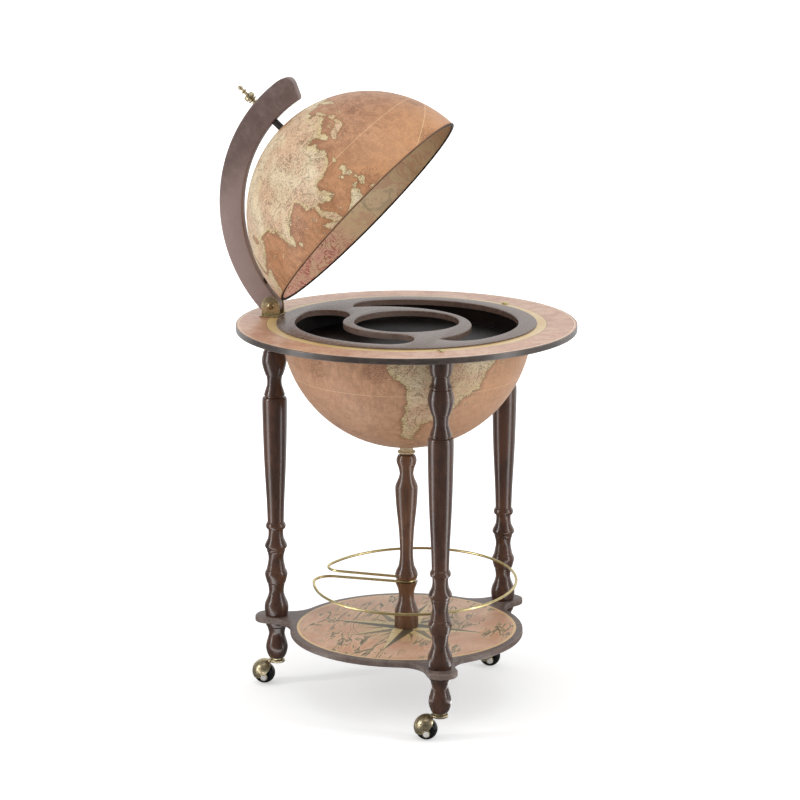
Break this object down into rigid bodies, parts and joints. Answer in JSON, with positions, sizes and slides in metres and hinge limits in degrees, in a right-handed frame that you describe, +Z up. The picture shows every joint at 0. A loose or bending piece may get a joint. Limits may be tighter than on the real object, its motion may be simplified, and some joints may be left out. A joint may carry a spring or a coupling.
{
  "type": "floor globe bar",
  "caption": "Globe-shaped drinks cabinet on three turned legs with casters, an open hinged upper half, a bottle tray and a railed lower shelf.",
  "frame": {"origin": "on the floor, under the middle of the whole outline, front to back and side to side", "axes": "+Z up, +Y towards the hinge and the back leg, -Y the front, +X to the right seen from the front"},
  "size_m": [0.56, 0.6002, 1.0391],
  "materials": {
    "dark_wood": "dark stain under gloss lacquer",
    "arm_wood": "brown stain, satin lacquer",
    "shelf_board": "dark stain, satin, with a printed paper round",
    "printed_board": "printed paper on board, satin lacquer, dark edge",
    "globe_print": "printed map paper under lacquer",
    "tray_plastic": "dark brown, glossy",
    "edge_trim": "very dark brown, satin",
    "pale_wood": "plain turned wood",
    "antique_brass": "antique, polished on the high parts",
    "bright_brass": "polished",
    "zinc_steel": "zinc plated",
    "black_plastic": "black, satin",
    "wheel_plastic": "black, moulded",
    "cap_plastic": "white, moulded"
  },
  "bodies": {
    "frame": {"ring_table": "printed_board", "shelf": "shelf_board", "leg_back": "dark_wood", "leg_front_left": "dark_wood", "leg_front_right": "dark_wood", "foot_back": "dark_wood", "foot_front_left": "dark_wood", "foot_front_right": "dark_wood", "column_upper": "dark_wood", "column_lower": "dark_wood", "south_boss": "pale_wood", "lower_hemisphere": "globe_print", "tray_plate": "tray_plastic", "tray_tub": "tray_plastic", "hinge_bracket": "antique_brass", "hinge_bolt": "antique_brass", "hinge_nut": "antique_brass", "bracket_screw_front_left": "antique_brass", "bracket_screw_front_right": "antique_brass", "bracket_screw_back_left": "antique_brass", "bracket_screw_back_right": "antique_brass", "caster_plate_back": "antique_brass", "caster_plate_front_left": "antique_brass", "caster_plate_front_right": "antique_brass", "bottle_rail": "bright_brass", "leg_screw_front_left": "bright_brass", "leg_screw_front_right": "bright_brass", "leg_stud_back": "zinc_steel", "leg_stud_front_left": "zinc_steel", "leg_stud_front_right": "zinc_steel", "leg_screw_back": "zinc_steel", "column_rod": "zinc_steel", "column_washer_top": "zinc_steel", "column_washer_bottom": "zinc_steel", "column_nut_top": "zinc_steel", "column_nut_bottom": "zinc_steel", "hinge_washer_left": "black_plastic", "hinge_washer_right": "black_plastic"},
    "lid": {"upper_hemisphere": "globe_print", "lid_rim": "edge_trim", "meridian_arm": "arm_wood", "finial": "bright_brass", "pole_sleeve": "black_plastic", "pole_washer": "zinc_steel", "pole_nut": "zinc_steel", "rim_spacer": "black_plastic", "rim_screw": "zinc_steel"},
    "caster_back": {"caster_hood_back": "antique_brass", "caster_axle_back": "zinc_steel", "caster_cap_back": "cap_plastic"},
    "wheel_back": {"caster_wheel_back": "wheel_plastic"},
    "caster_front_left": {"caster_hood_front_left": "antique_brass", "caster_axle_front_left": "zinc_steel", "caster_cap_front_left": "cap_plastic"},
    "wheel_front_left": {"caster_wheel_front_left": "wheel_plastic"},
    "caster_front_right": {"caster_hood_front_right": "antique_brass", "caster_axle_front_right": "zinc_steel", "caster_cap_front_right": "cap_plastic"},
    "wheel_front_right": {"caster_wheel_front_right": "wheel_plastic"}
  },
  "joints": [
    {"name": "lid_hinge", "type": "hinge", "parent": "frame", "child": "lid", "pos_m": [0, 0.21127, 0.65777], "axis": [1, 0, 0], "range_deg": [0, 48]},
    {"name": "caster_swivel_back", "type": "hinge", "parent": "frame", "child": "caster_back", "pos_m": [0, 0.20987, 0.04547], "axis": [0, 0, 1], "continuous": true},
    {"name": "wheel_spin_back", "type": "hinge", "parent": "caster_back", "child": "wheel_back", "pos_m": [-0.0052, 0.23073, 0.01797], "axis": [-0.9556, -0.2382, -0.1736], "continuous": true},
    {"name": "caster_swivel_front_left", "type": "hinge", "parent": "frame", "child": "caster_front_left", "pos_m": [-0.19919, -0.13513, 0.04547], "axis": [0, 0, 1], "continuous": true},
    {"name": "wheel_spin_front_left", "type": "hinge", "parent": "caster_front_left", "child": "wheel_front_left", "pos_m": [-0.20439, -0.11427, 0.01797], "axis": [-0.9556, -0.2382, -0.1736], "continuous": true},
    {"name": "caster_swivel_front_right", "type": "hinge", "parent": "frame", "child": "caster_front_right", "pos_m": [0.19919, -0.13513, 0.04547], "axis": [0, 0, 1], "continuous": true},
    {"name": "wheel_spin_front_right", "type": "hinge", "parent": "caster_front_right", "child": "wheel_front_right", "pos_m": [0.19398, -0.11427, 0.01797], "axis": [-0.9556, -0.2382, -0.1736], "continuous": true}
  ]
}
